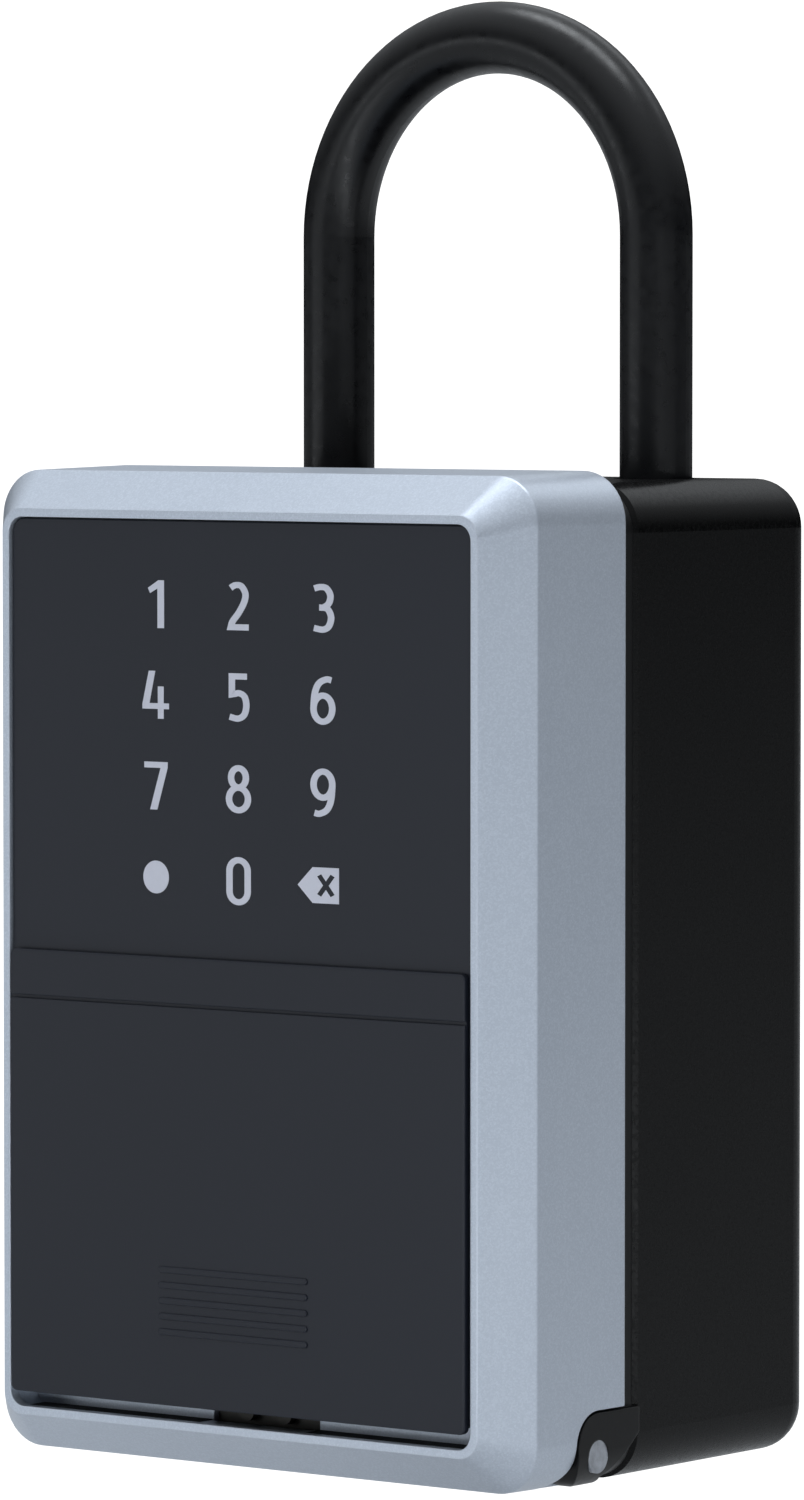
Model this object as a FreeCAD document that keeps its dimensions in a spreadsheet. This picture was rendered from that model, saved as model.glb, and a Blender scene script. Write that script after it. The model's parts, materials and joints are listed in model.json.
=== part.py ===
"""Keypad key safe with a shackle: a hinged die-cast door that carries a touch keypad, a slide cover
and a motor bolt, on a jacketed housing that holds the keys and the shackle lock.

Frame: origin at the bottom centre, +Z up, the door faces -Y, +X to the right of someone facing it.
Rest pose: door shut with its bolt drawn back, slide cover down, shackle seated and released.
"""
import FreeCAD, Part
import math
import os
import re
import Sketcher

os.makedirs("parts", exist_ok=True)
doc = FreeCAD.newDocument("key_safe")
Vector = FreeCAD.Vector

# ---------------------------------------------------------------- driving dimensions (mm)
DIMENSIONS = {
    # door casting
    "door_width": 83.0, "door_height": 121.7, "door_mid": 60.9, "door_draft": 0.35,
    "door_side": 17.1, "bevel_wide": 4.67, "bevel_deep": 5.7, "rim_wide": 1.0, "rim_y": -31.7,
    "outer_corner": 6.2, "rim_corner": 2.7, "opening_corner": 2.0, "tray_corner": 4.0,
    "outer_round": 0.45, "casting_wall": 2.2, "lip_thick": 1.5, "shelf_top": 5.75,
    "shelf_bottom": 4.6, "web_top": 9.3, "web_front": 6.1, "web_thick": 3.2, "notch_wide": 16.4,
    # keypad panel and slide cover
    "panel_recess": 0.45, "panel_gap": 0.2, "panel_thick": 1.5, "panel_bottom": 8.6,
    "panel_round": 0.12, "cover_round": 0.2, "cover_bottom": 8.0, "cover_top": 62.67,
    "cover_thick": 0.9, "cover_proud": 0.55, "cover_gap": 0.5, "cover_corner": 0.8,
    "grip_line": 56.85, "leg_mid": 27.0, "leg_wide": 3.6, "leg_tall": 2.8, "leg_bottom": 9.6,
    "guide_mid": 30.9, "guide_radius": 1.2, "guide_y": -24.0, "guide_bottom": 6.2,
    "guide_top": 84.5, "shoe_mid": 28.9, "shoe_wide": 8.2, "shoe_tall": 18.0, "shoe_z": 18.6,
    "shoe_hole_z": 11.0, "pad_low": 0.3, "pad_proud": 0.1,
    # housing and jacket
    "jacket_width": 81.3, "jacket_height": 120.3, "jacket_wall": 1.5, "jacket_edge": 4.5,
    "jacket_front": -5.7, "jacket_chamfer": 0.7, "rear_y": 32.25, "jacket_corner": 6.0,
    "housing_wall": 2.0, "ring_width": 80.5, "ring_height": 119.5, "door_gap": 0.3,
    "ring_round": 0.35,
    "seal_width": 78.6, "seal_height": 117.6, "seal_wide": 1.2, "seal_proud": 0.15, "seal_corner": 4.6,
    # hinge
    "hinge_y": -14.0, "hinge_z": 4.05, "pin_radius": 2.0, "bush_radius": 3.0, "knuckle_radius": 3.9,
    "ear_inner": 36.0, "ear_outer": 41.4, "ear_top": 9.3, "ear_corner": 4.5, "swing_radius": 5.0,
    "running_gap": 0.05, "pin_inner": 28.6, "drift_hole": 1.2,
    # shackle
    "shackle_y": 20.6, "leg_spacing": 49.5, "coat_radius": 4.5, "core_radius": 4.0,
    "bow_centre": 150.3, "leg_end": 91.0, "coat_end": 103.0, "neck_half": 3.0, "latch_z": 98.0,
    "latch_thick": 2.0, "latch_shift": 3.2, "socket_radius": 4.6, "bush_outer": 5.4,
    "bush_bottom": 114.0, "bush_top": 119.6,
    # lock block
    "block_front": 12.5, "block_bottom": 88.0, "block_half": 34.5, "tap_radius": 0.8,
    "latch_left": -34.0, "latch_right": 31.0, "latch_front": 13.2, "latch_rear": 28.0,
    "tongue_front": 8.4, "tongue_half": 3.0, "knob_wide": 12.0, "knob_tall": 9.0, "knob_front": 5.6,
    "knob_rear": 10.6,
    # strike plate
    "strike_low": 5.0, "strike_high": 27.0, "strike_front": -8.4, "strike_rear": 2.5, "strike_z": 113.5,
    "strike_thick": 1.2, "strike_margin": 3.5, "strike_screw_y": -3.6,
    # key mat and hook
    "mat_half": 34.4, "mat_front": -4.0, "mat_rear": 26.6, "mat_thick": 1.4, "mat_pitch": 6.0,
    "hook_z": 78.0, "hook_wire": 1.25, "hook_reach": 11.0, "hook_rise": 4.5,
    # bolt drive
    "bolt_mid": 16.0, "bolt_wide": 7.0, "bolt_top": 111.8, "bolt_front": -5.2, "bolt_rear": -2.0,
    "case_left": -16.0, "case_right": 21.6, "case_rear": -0.2, "case_bottom": 84.0, "case_top": 112.0,
    "case_wall": 1.2, "tab_thick": 1.2, "tab_wide": 5.0, "pinion_z": 98.0, "shaft_radius": 1.5,
    "gear_module": 0.8, "pinion_teeth": 12.0, "gear_wide": 5.6, "gear_start": 13.0,
    "rack_pitch_y": -9.4, "motor_wide": 12.0, "motor_flat": 10.0,
    # door interior
    "chassis_y": -24.5, "chassis_thick": 1.5, "chassis_screw_x": 37.85, "chassis_screw_low": 22.0,
    "chassis_screw_high": 100.0, "post_x": 35.8, "post_low": 18.0, "post_high": 112.0,
    "post_radius": 2.4, "inner_bottom": 11.0, "inner_top": 119.0,
    "inner_width": 77.8, "inner_cover_y": -10.4, "inner_cover_thick": 1.3,
    "cell_radius": 7.75, "cell_length": 27.0, "cell_y": -18.6, "cell_z": 33.0, "cell_room": 0.4,
    "button_x": -14.0, "button_z": 76.0, "button_radius": 2.4, "board_width": 44.0, "board_mid": 89.0,
    "board_standoff": 2.9, "touch_board_tall": 50.0, "main_board_tall": 46.0, "radio_x": 10.0,
    "radio_z": 104.0, "buzzer_x": -10.0, "buzzer_z": 102.0, "buzzer_radius": 4.5,
    "connector_half": 12.0, "connector_low": 68.0, "connector_high": 72.0, "tray_half": 16.0,
    "lid_wide": 30.2, "lid_tall": 17.4,
}

sheet = doc.addObject("Spreadsheet::Sheet", "dims")
for row, (alias, number) in enumerate(DIMENSIONS.items(), start=1):
    sheet.set("A%d" % row, alias)
    sheet.set("B%d" % row, str(number))
    sheet.setAlias("B%d" % row, alias)
doc.recompute()

# Places that follow from the driving dimensions, as sheet expressions.
BEVEL_Y = "(rim_y + bevel_deep)"
SEAM_Y = "(rim_y + bevel_deep + door_side)"
RING_Y = "(rim_y + bevel_deep + door_side + door_gap)"
OPENING_WIDTH = "(door_width - 2 * door_draft - 2 * bevel_wide - 2 * rim_wide)"
OPENING_HEIGHT = "(door_height - 2 * door_draft - 2 * bevel_wide - 2 * rim_wide)"
PANEL_Y = "(rim_y + panel_recess)"
PANEL_BACK = "(rim_y + panel_recess + panel_thick)"
HOUSING_WIDTH = "(jacket_width - 2 * jacket_wall)"
HOUSING_HEIGHT = "(jacket_height - 2 * jacket_wall)"
HOUSING_MID = "(jacket_height / 2)"
HOUSING_REAR = "(rear_y - jacket_wall)"
CAVITY_REAR = "(rear_y - jacket_wall - housing_wall)"
CAVITY_HALF = "(jacket_width / 2 - jacket_wall - housing_wall)"
CAVITY_TOP = "(jacket_height - jacket_wall - housing_wall)"
CHASSIS_BACK = "(chassis_y + chassis_thick)"
INNER_BACK = "(inner_cover_y + inner_cover_thick)"
HALF_SPACING = "(leg_spacing / 2)"
BLOCK_REAR = "(%s - 0.05)" % CAVITY_REAR
BLOCK_TOP = "(%s - 0.05)" % CAVITY_TOP
SHOE_FRONT = "(%s + 0.15)" % PANEL_BACK
COVER_FRONT = "(rim_y - cover_proud)"
WEB_Y = "(rim_y + web_front)"
FLOOR = "(jacket_wall + housing_wall)"
BOARD_Y = "(chassis_y - board_standoff)"
INNER_MID = "((inner_bottom + inner_top) / 2)"
THROUGH_CHASSIS = ("chassis_y - 1", CHASSIS_BACK + " + 1")
THROUGH_COVER = ("inner_cover_y - 1", INNER_BACK + " + 1")
SIDES = (("left", -1), ("right", 1))
STRIKE_SPOTS = [(x, "strike_screw_y") for x in ("strike_low + strike_margin", "strike_high - strike_margin")]
BUTTON_SPOT = ("button_x", "button_z")
HOOK_ROOT = ("0", "hook_z")
BOLT_ROOM = ("bolt_mid - bolt_wide / 2 - 0.3", "bolt_mid + bolt_wide / 2 + 0.3")
HINGE_LINE = ("hinge_y", "hinge_z")
CELL_LINE = ("cell_y", "cell_z")
MECHANISM_SPOTS = [("%d * (block_half - 3)" % sx, z) for sx in (-1, 1)
                   for z in ("block_bottom + 3.5", "bush_bottom - 1.5")]
CHASSIS_SPOTS = [("%d * chassis_screw_x" % sx, z) for sx in (-1, 1)
                 for z in ("chassis_screw_low", "chassis_screw_high")]
POST_SPOTS = [("%d * post_x" % sx, z) for sx in (-1, 1) for z in ("post_low", "post_high")]
CASE_SPOTS = [("case_left - tab_wide / 2", "pinion_z"), ("case_right + tab_wide / 2", "pinion_z")]
CASE_ROOM = (("case_left + case_wall", "case_right - case_wall"),
             ("case_bottom + case_wall", "case_top - case_wall"))


# ---------------------------------------------------------------- helpers
def on_sheet(text):
    """The same expression with each alias read from the sheet."""
    return re.sub(r"[a-z][a-z_]+", lambda word: "dims." + word.group(), str(text))


def bind(thing, prop, text):
    thing.setExpression(prop, on_sheet(text))


def leg_line(sign):
    """Where a shackle leg stands, in x and y."""
    return ("%d * leg_spacing / 2" % sign, "shackle_y")


def mirrored(sign, inner, outer):
    """A span along x on one side of the middle, from its distances to the middle."""
    if sign > 0:
        return (inner, outer)
    return ("-(%s)" % outer, "-(%s)" % inner)


def place(thing, x="0", y="0", z="0"):
    for axis, text in zip("xyz", (x, y, z)):
        bind(thing, "Placement.Base." + axis, text)
    return thing


def block(name, x, y, z):
    """A box from the low and high ends of its three spans."""
    box = doc.addObject("Part::Box", name)
    for prop, (low, high) in zip(("Length", "Width", "Height"), (x, y, z)):
        bind(box, prop, "(%s) - (%s)" % (high, low))
    return place(box, x[0], y[0], z[0])


TURNS = {
    "z": FreeCAD.Rotation(),
    "x": FreeCAD.Rotation(Vector(0, 1, 0), 90),
    "y": FreeCAD.Rotation(Vector(1, 0, 0), -90),
}


def rod(name, radius, axis, span, centre):
    """A cylinder along x, y or z; centre gives its two other coordinates in x, y, z order."""
    cylinder = doc.addObject("Part::Cylinder", name)
    cylinder.Placement.Rotation = TURNS[axis]
    bind(cylinder, "Radius", radius)
    bind(cylinder, "Height", "(%s) - (%s)" % (span[1], span[0]))
    start = list(centre)
    start.insert("xyz".index(axis), span[0])
    return place(cylinder, *start)


def fuse(name, *shapes):
    joined = doc.addObject("Part::MultiFuse", name)
    joined.Shapes = list(shapes)
    joined.Refine = True
    return joined


def cut(name, base, *tools):
    result = doc.addObject("Part::Cut", name)
    result.Base = base
    result.Tool = tools[0] if len(tools) == 1 else fuse(name + "_tools", *tools)
    result.Refine = True
    return result


def common(name, first, second):
    result = doc.addObject("Part::Common", name)
    result.Base = first
    result.Tool = second
    result.Refine = True
    return result


def origin_plane(body, role):
    for feature in body.Origin.OriginFeatures:
        if feature.Role == role:
            return feature
    raise LookupError(role)


def outline(body, name, width, height, radius, offset="0"):
    """A centred rounded rectangle on the body's XZ plane, offset along -Y."""
    sketch = body.newObject("Sketcher::SketchObject", name)
    sketch.AttachmentSupport = [(origin_plane(body, "XZ_Plane"), "")]
    sketch.MapMode = "FlatFace"
    bind(sketch, "AttachmentOffset.Base.z", offset)
    half, round_at = 20.0, 3.0
    flat = half - round_at
    corners = [(1, 1), (-1, 1), (-1, -1), (1, -1)]
    for turn, (sx, sy) in enumerate(corners):
        circle = Part.Circle(Vector(sx * flat, sy * flat, 0), Vector(0, 0, 1), round_at)
        start = turn * math.pi / 2
        sketch.addGeometry(Part.ArcOfCircle(circle, start, start + math.pi / 2), False)
    ends = [((flat, half), (-flat, half)), ((-half, flat), (-half, -flat)),
            ((-flat, -half), (flat, -half)), ((half, -flat), (half, flat))]
    for first, last in ends:
        sketch.addGeometry(Part.LineSegment(Vector(*first, 0), Vector(*last, 0)), False)
    add = sketch.addConstraint
    for turn in range(4):
        add(Sketcher.Constraint("Tangent", turn, 2, 4 + turn, 1))
        add(Sketcher.Constraint("Tangent", 4 + turn, 2, (turn + 1) % 4, 1))
    for line, kind in zip(range(4, 8), ("Horizontal", "Vertical", "Horizontal", "Vertical")):
        add(Sketcher.Constraint(kind, line))
    for arc in range(1, 4):
        add(Sketcher.Constraint("Equal", 0, arc))
    add(Sketcher.Constraint("Symmetric", 4, 1, 6, 1, -1, 1))
    sizes = [("radius", Sketcher.Constraint("Radius", 0, round_at), radius),
             ("width", Sketcher.Constraint("DistanceX", 5, 1, 7, 1, 2 * half), width),
             ("height", Sketcher.Constraint("DistanceY", 6, 1, 4, 1, 2 * half), height)]
    for label, constraint, text in sizes:
        index = add(constraint)
        sketch.renameConstraint(index, label)
        bind(sketch, "Constraints." + label, text)
    return sketch


def slab(name, width, height, radius, y, z_mid, x_mid="0"):
    """A rounded plate that stands in the XZ plane and fills the span y."""
    body = doc.addObject("PartDesign::Body", name)
    sketch = outline(body, name + "_outline", width, height, radius)
    pad = body.newObject("PartDesign::Pad", name + "_pad")
    pad.Profile = sketch
    pad.Reversed = True
    bind(pad, "Length", "(%s) - (%s)" % (y[1], y[0]))
    return place(body, x_mid, y[0], z_mid)


def ease(body, level, size, kind="Fillet"):
    """Round or chamfer the edges in one plane across a body; levels count its planes from the front."""
    doc.recompute()
    base = body.Tip
    levels = sorted({round(vertex.Y, 3) for vertex in base.Shape.Vertexes})
    loop = ["Edge%d" % (index + 1) for index, one in enumerate(base.Shape.Edges)
            if all(round(vertex.Y, 3) == levels[level] for vertex in one.Vertexes)]
    eased = body.newObject("PartDesign::" + kind, base.Name + "_eased")
    eased.Base = (base, loop)
    bind(eased, "Radius" if kind == "Fillet" else "Size", size)
    body.Tip = eased
    return body


def rounded_case(name, width, height, radius, y, z_mid, edge):
    """A slab whose rear edges are rounded as well."""
    return ease(slab(name, width, height, radius, y, z_mid), -1, edge)


def screw_group(name, spots, axis, span, shank, head, head_deep, toward=1):
    """Pan-head screws; span runs from the tip to the top of the head, toward gives the head's side."""
    pieces = []
    for number, centre in enumerate(spots):
        low, high = span
        seat = "(%s) - (%s)" % (high, head_deep) if toward > 0 else "(%s) + (%s)" % (low, head_deep)
        shank_span = (low, seat) if toward > 0 else (seat, high)
        head_span = (seat, high) if toward > 0 else (low, seat)
        stem = rod("%s_stem%d" % (name, number), shank, axis, shank_span, centre)
        top = rod("%s_head%d" % (name, number), head, axis, head_span, centre)
        drive_span = ("(%s) - 0.5" % high, "(%s) + 0.5" % high)
        if toward < 0:
            drive_span = ("(%s) - 0.5" % low, "(%s) + 0.5" % low)
        drive = rod("%s_drive%d" % (name, number), "(%s) * 0.42" % head, axis, drive_span, centre)
        blank = fuse("%s_blank%d" % (name, number), stem, top)
        pieces.append(cut("%s_one%d" % (name, number), blank, drive))
    group = doc.addObject("Part::Compound", name)
    group.Links = pieces
    return group


parts = {}


def keep(label, thing):
    thing.Label = label
    parts[label] = thing
    return thing


# ---------------------------------------------------------------- housing side
def make_jacket():
    shell = rounded_case("jacket_shell", "jacket_width", "jacket_height", "jacket_corner",
                         ("jacket_front", "rear_y"), HOUSING_MID, "jacket_edge")
    ease(shell, 0, "jacket_chamfer", "Chamfer")
    core = rounded_case("jacket_core", HOUSING_WIDTH, HOUSING_HEIGHT, "jacket_corner - jacket_wall",
                        ("jacket_front - 1", HOUSING_REAR), HOUSING_MID, "jacket_edge - jacket_wall")
    holes = [rod("jacket_hole_" + side, "bush_outer", "z", ("jacket_height - 4", "jacket_height + 2"),
                 leg_line(sign)) for side, sign in SIDES]
    return cut("jacket_cut", shell, core, *holes)


def ear_shape(side, sign):
    """A lug round the hinge pin that runs back to the housing ring."""
    name = "ear_" + side
    span = mirrored(sign, "ear_inner", "ear_outer")
    boss = rod(name + "_boss", "knuckle_radius", "x", span, HINGE_LINE)
    web = block(name + "_web", span, ("hinge_y", "jacket_front"), ("0.3", "ear_top"))
    brow = block(name + "_brow", span, ("hinge_y - knuckle_radius", "hinge_y"), ("hinge_z", "ear_top - 3.8"))
    crown = rod(name + "_crown", "3.8", "x", span, ("hinge_y - 0.1", "ear_top - 3.8"))
    lug = fuse(name + "_lug", boss, web, brow, crown)
    relief = doc.addObject("Part::Box", name + "_relief")
    relief.Length, relief.Width, relief.Height = 10, 12, 12
    relief.Placement.Rotation = FreeCAD.Rotation(Vector(1, 0, 0), 39.5)
    place(relief, span[0] + " - 1", "hinge_y + 9.9", "-8.0")
    return cut(name, lug, relief)


def make_housing():
    case = rounded_case("housing_case", HOUSING_WIDTH, HOUSING_HEIGHT, "jacket_corner - jacket_wall",
                        (RING_Y, HOUSING_REAR), HOUSING_MID, "jacket_edge - jacket_wall")
    ring = slab("housing_ring", "ring_width", "ring_height", "jacket_corner - 0.4",
                (RING_Y, "jacket_front"), HOUSING_MID)
    ease(ring, 0, "ring_round")
    ears = [ear_shape(side, sign) for side, sign in SIDES]
    envelope = slab("ear_envelope", "2 * ear_outer", "door_height - 0.2", "ear_corner",
                    ("hinge_y - 6", "jacket_front"), "door_mid")
    lugs = common("ears", fuse("ear_pair", *ears), envelope)
    cavity = slab("housing_cavity", "2 * " + CAVITY_HALF, HOUSING_HEIGHT + " - 2 * housing_wall",
                  "2.5", (RING_Y + " - 1", CAVITY_REAR), HOUSING_MID)
    hollow = cut("housing_hollow", fuse("housing_blank", case, ring), cavity)
    strike_seat = block("strike_seat", ("strike_low", "strike_high"), ("strike_front", "strike_rear"),
                        ("strike_z + strike_thick", CAVITY_TOP + " + 0.2"))
    whole = fuse("housing_whole", hollow, lugs, strike_seat)
    tools = [block("strike_pocket", BOLT_ROOM, ("bolt_front - 0.3", "bolt_rear + 0.3"), ("110", "117.4")),
             seal_shape("seal_groove", RING_Y + " - 2 * seal_proud"),
             rod("hook_hole", "hook_wire", "y", (CAVITY_REAR + " - 1", CAVITY_REAR + " + 1.2"), HOOK_ROOT)]
    for side, sign in SIDES:
        tools.append(rod("housing_leg_hole_" + side, "bush_outer", "z", ("bush_bottom", "jacket_height"),
                         leg_line(sign)))
        tools.append(rod("ear_bore_" + side, "pin_radius", "x",
                         mirrored(sign, "pin_inner", "ear_outer + drift_hole"), HINGE_LINE))
    for number, spot in enumerate(STRIKE_SPOTS):
        tools.append(rod("strike_hole%d" % number, "tap_radius", "z", ("strike_z", "strike_z + 4.1"), spot))
    return cut("housing_cut", whole, *tools)


def seal_shape(name, front):
    """A rounded ring just inside the housing's rim, from the given front to 1 mm past the rim face."""
    outer = slab(name + "_outer", "seal_width", "seal_height", "seal_corner", (front, RING_Y + " + 1"),
                 HOUSING_MID)
    inner = slab(name + "_inner", "seal_width - 2 * seal_wide", "seal_height - 2 * seal_wide",
                 "seal_corner - seal_wide", (RING_Y + " - 1", RING_Y + " + 2"), HOUSING_MID)
    return cut(name, outer, inner)


def make_hinge_pin(side, sign):
    return rod("pin_" + side, "pin_radius", "x", mirrored(sign, "pin_inner", "ear_outer - 0.1"), HINGE_LINE)


def make_leg_bush(side, sign):
    centre = leg_line(sign)
    tube = rod("bush_tube_" + side, "bush_outer", "z", ("bush_bottom", "bush_top"), centre)
    bore = rod("bush_bore_" + side, "socket_radius", "z", ("bush_bottom - 1", "bush_top + 1"), centre)
    return cut("bush_cut_" + side, tube, bore)


def make_lock_block():
    body = block("block_solid", ("-block_half", "block_half"), ("block_front", BLOCK_REAR),
                 ("block_bottom", BLOCK_TOP))
    tools = [block("latch_slot", ("-block_half - 1", "block_half + 1"),
                   ("block_front - 1", CAVITY_REAR + " - 0.6"),
                   ("latch_z - 0.1", "latch_z + latch_thick + 0.1"))]
    for side, sign in SIDES:
        centre = leg_line(sign)
        tools.append(rod("socket_" + side, "socket_radius", "z", ("leg_end - 1.5", "bush_bottom + 4"),
                         centre))
        tools.append(rod("bush_seat_" + side, "bush_outer", "z", ("bush_bottom", "bush_bottom + 4"), centre))
    for number, spot in enumerate(MECHANISM_SPOTS):
        tools.append(rod("block_tap%d" % number, "tap_radius", "y", ("block_front - 1", "block_front + 5.4"),
                         spot))
    tools.append(block("block_pocket", ("-12", "12"), ("block_front - 1", "block_front + 11"),
                       ("latch_z + 5.5", "bush_bottom - 0.5")))
    return cut("block_cut", body, *tools)


def make_mechanism_cover():
    plate = slab("mechanism_plate", "2 * block_half", BLOCK_TOP + " - block_bottom", "2",
                 ("block_front - 1.6", "block_front - 0.1"), "(%s + block_bottom) / 2" % BLOCK_TOP)
    tools = [block("knob_slot", ("-tongue_half - 1", "tongue_half + 1 + latch_shift"),
                   ("block_front - 3", "block_front + 1"),
                   ("latch_z - 0.4", "latch_z + latch_thick + 0.4"))]
    for number, spot in enumerate(MECHANISM_SPOTS):
        tools.append(rod("cover_hole%d" % number, "1.1", "y", ("block_front - 3", "block_front"), spot))
    return cut("mechanism_cut", plate, *tools)


def make_latch_plate():
    level = ("latch_z", "latch_z + latch_thick")
    plate = block("latch_blank", ("latch_left", "latch_right"), ("latch_front", "latch_rear"), level)
    tab = block("latch_tab", ("-tongue_half", "tongue_half"), ("tongue_front", "latch_front + 0.2"), level)
    tools = []
    for side, sign in SIDES:
        leg = leg_line(sign)
        deep = ("latch_z - 5", "latch_z + 5")
        tools.append(rod("keyhole_round_" + side, "core_radius + 0.4", "z", deep, leg))
        tools.append(block("keyhole_slot_" + side, (leg[0] + " - latch_shift - core_radius - 0.4", leg[0]),
                           ("shackle_y - neck_half - 0.2", "shackle_y + neck_half + 0.2"), deep))
    return cut("latch_cut", fuse("latch_whole", plate, tab), *tools)


def make_release_knob():
    grip = slab("knob_grip", "knob_wide", "knob_tall", "1.5", ("knob_front", "knob_rear"),
                "latch_z + latch_thick / 2")
    tools = [block("knob_socket", ("-tongue_half", "tongue_half"), ("tongue_front", "knob_rear + 0.4"),
                   ("latch_z", "latch_z + latch_thick"))]
    for number in range(5):
        x = -4 + 2 * number
        tools.append(block("knob_rib%d" % number, ("%s - 0.4" % x, "%s + 0.4" % x),
                           ("knob_front - 1", "knob_front + 0.7"),
                           ("latch_z - 8", "latch_z + 8")))
    return cut("knob_cut", grip, *tools)


def make_strike_plate():
    plate = block("strike_blank", ("strike_low", "strike_high"), ("strike_front", "strike_rear"),
                  ("strike_z", "strike_z + strike_thick"))
    tools = [block("strike_window", BOLT_ROOM, ("bolt_front - 0.3", "bolt_rear + 0.3"), ("112", "116"))]
    for number, spot in enumerate(STRIKE_SPOTS):
        tools.append(rod("strike_seat%d" % number, "1.6", "z", ("strike_z - 1", "strike_z + 0.7"), spot))
        tools.append(rod("strike_bore%d" % number, "0.9", "z", ("strike_z - 1", "strike_z + 2"), spot))
    return cut("strike_cut", plate, *tools)


def make_key_hook():
    front = CAVITY_REAR + " - hook_reach"
    base = rod("hook_base", "4", "y", (CAVITY_REAR + " - 1.5", CAVITY_REAR), HOOK_ROOT)
    spigot = rod("hook_spigot", "hook_wire - 0.1", "y", (CAVITY_REAR + " - 0.5", CAVITY_REAR + " + 1.2"),
                 HOOK_ROOT)
    arm = rod("hook_arm", "hook_wire", "y", (front, CAVITY_REAR + " - 1"), HOOK_ROOT)
    tip = rod("hook_tip", "hook_wire", "z", ("hook_z", "hook_z + hook_rise"), ("0", front))
    balls = []
    for name, z in (("elbow", "hook_z"), ("cap", "hook_z + hook_rise")):
        ball = doc.addObject("Part::Sphere", "hook_" + name)
        bind(ball, "Radius", "hook_wire")
        balls.append(place(ball, "0", front, z))
    return fuse("hook_whole", base, spigot, arm, tip, *balls)


def make_key_mat():
    mat = block("mat_blank", ("-mat_half", "mat_half"), ("mat_front", "mat_rear"),
                (FLOOR, FLOOR + " + mat_thick"))
    grooves = [block("mat_groove%d" % (step + 5),
                     ("%d * mat_pitch - 0.6" % step, "%d * mat_pitch + 0.6" % step),
                     ("mat_front + 1.5", "mat_rear - 1.5"), (FLOOR + " + 0.8", FLOOR + " + 3"))
               for step in range(-5, 6)]
    return cut("mat_cut", mat, *grooves)


keep("outer_jacket", make_jacket())
keep("inner_housing", make_housing())
keep("door_seal", seal_shape("seal_ring", RING_Y + " - seal_proud"))
for side, sign in SIDES:
    keep("hinge_pin_" + side, make_hinge_pin(side, sign))
    keep("shackle_bush_" + side, make_leg_bush(side, sign))
keep("shackle_lock_block", make_lock_block())
keep("mechanism_cover", make_mechanism_cover())
keep("mechanism_screws", screw_group("mechanism_screws", MECHANISM_SPOTS, "y",
                                     ("block_front - 2.6", "block_front + 5"), "tap_radius", "1.7", "1.0",
                                     toward=-1))
keep("strike_plate", make_strike_plate())
keep("strike_screws", screw_group("strike_screws", STRIKE_SPOTS, "z", ("strike_z", "strike_z + 4"),
                                  "tap_radius", "1.5", "0.7", toward=-1))
keep("key_hook", make_key_hook())
keep("key_mat", make_key_mat())
keep("shackle_latch_plate", make_latch_plate())
keep("shackle_release_knob", make_release_knob())


# ---------------------------------------------------------------- shackle
def shackle_bar(name, radius, end):
    """Two legs and the half ring that joins them."""
    legs = [rod("%s_leg_%s" % (name, side), radius, "z", (end, "bow_centre"), leg_line(sign))
            for side, sign in SIDES]
    bow = doc.addObject("Part::Torus", name + "_bow")
    bow.Angle3 = 180
    bow.Placement.Rotation = FreeCAD.Rotation(Vector(1, 0, 0), 90)
    bind(bow, "Radius1", HALF_SPACING)
    bind(bow, "Radius2", radius)
    place(bow, "0", "shackle_y", "bow_centre")
    return fuse(name, bow, *legs)


def make_shackle_core():
    bar = shackle_bar("core_bar", "core_radius", "leg_end + 1.5")
    tips = []
    flats = []
    for side, sign in SIDES:
        x = leg_line(sign)[0]
        tip = doc.addObject("Part::Cone", "core_tip_" + side)
        bind(tip, "Radius1", "core_radius - 1.2")
        bind(tip, "Radius2", "core_radius")
        bind(tip, "Height", "1.5")
        tips.append(place(tip, x, "shackle_y", "leg_end"))
        for face, low, high in (("front", "-6", "-neck_half"), ("rear", "neck_half", "6")):
            flats.append(block("core_flat_%s_%s" % (side, face), (x + " - 5", x + " + 5"),
                               ("shackle_y + (%s)" % low, "shackle_y + (%s)" % high),
                               ("latch_z - 0.3", "latch_z + latch_thick + 0.3")))
    return cut("core_cut", fuse("core_whole", bar, *tips), *flats)


def make_shackle_coat():
    outer = shackle_bar("coat_outer", "coat_radius", "coat_end")
    inner = shackle_bar("coat_inner", "core_radius", "coat_end - 2")
    return cut("coat_cut", outer, inner)


keep("shackle_core", make_shackle_core())
keep("shackle_coating", make_shackle_coat())


# ---------------------------------------------------------------- door
def door_loft():
    """The casting's outside: drafted sides, then the wide bevel up to the thin rim."""
    body = doc.addObject("PartDesign::Body", "door_outside")
    shrink = "2 * door_draft + 2 * bevel_wide"
    stations = [
        ("door_width", "door_height", "outer_corner", "0"),
        ("door_width - 2 * door_draft", "door_height - 2 * door_draft", "outer_corner - door_draft",
         "door_side"),
        ("door_width - (%s)" % shrink, "door_height - (%s)" % shrink, "rim_corner",
         "door_side + bevel_deep"),
    ]
    sketches = [outline(body, "door_station%d" % number, *station)
                for number, station in enumerate(stations)]
    loft = body.newObject("PartDesign::AdditiveLoft", "door_skin")
    loft.Profile = sketches[0]
    loft.Sections = sketches[1:]
    loft.Ruled = True
    ease(body, 1, "outer_round")
    return place(body, "0", SEAM_Y, "door_mid")


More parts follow.
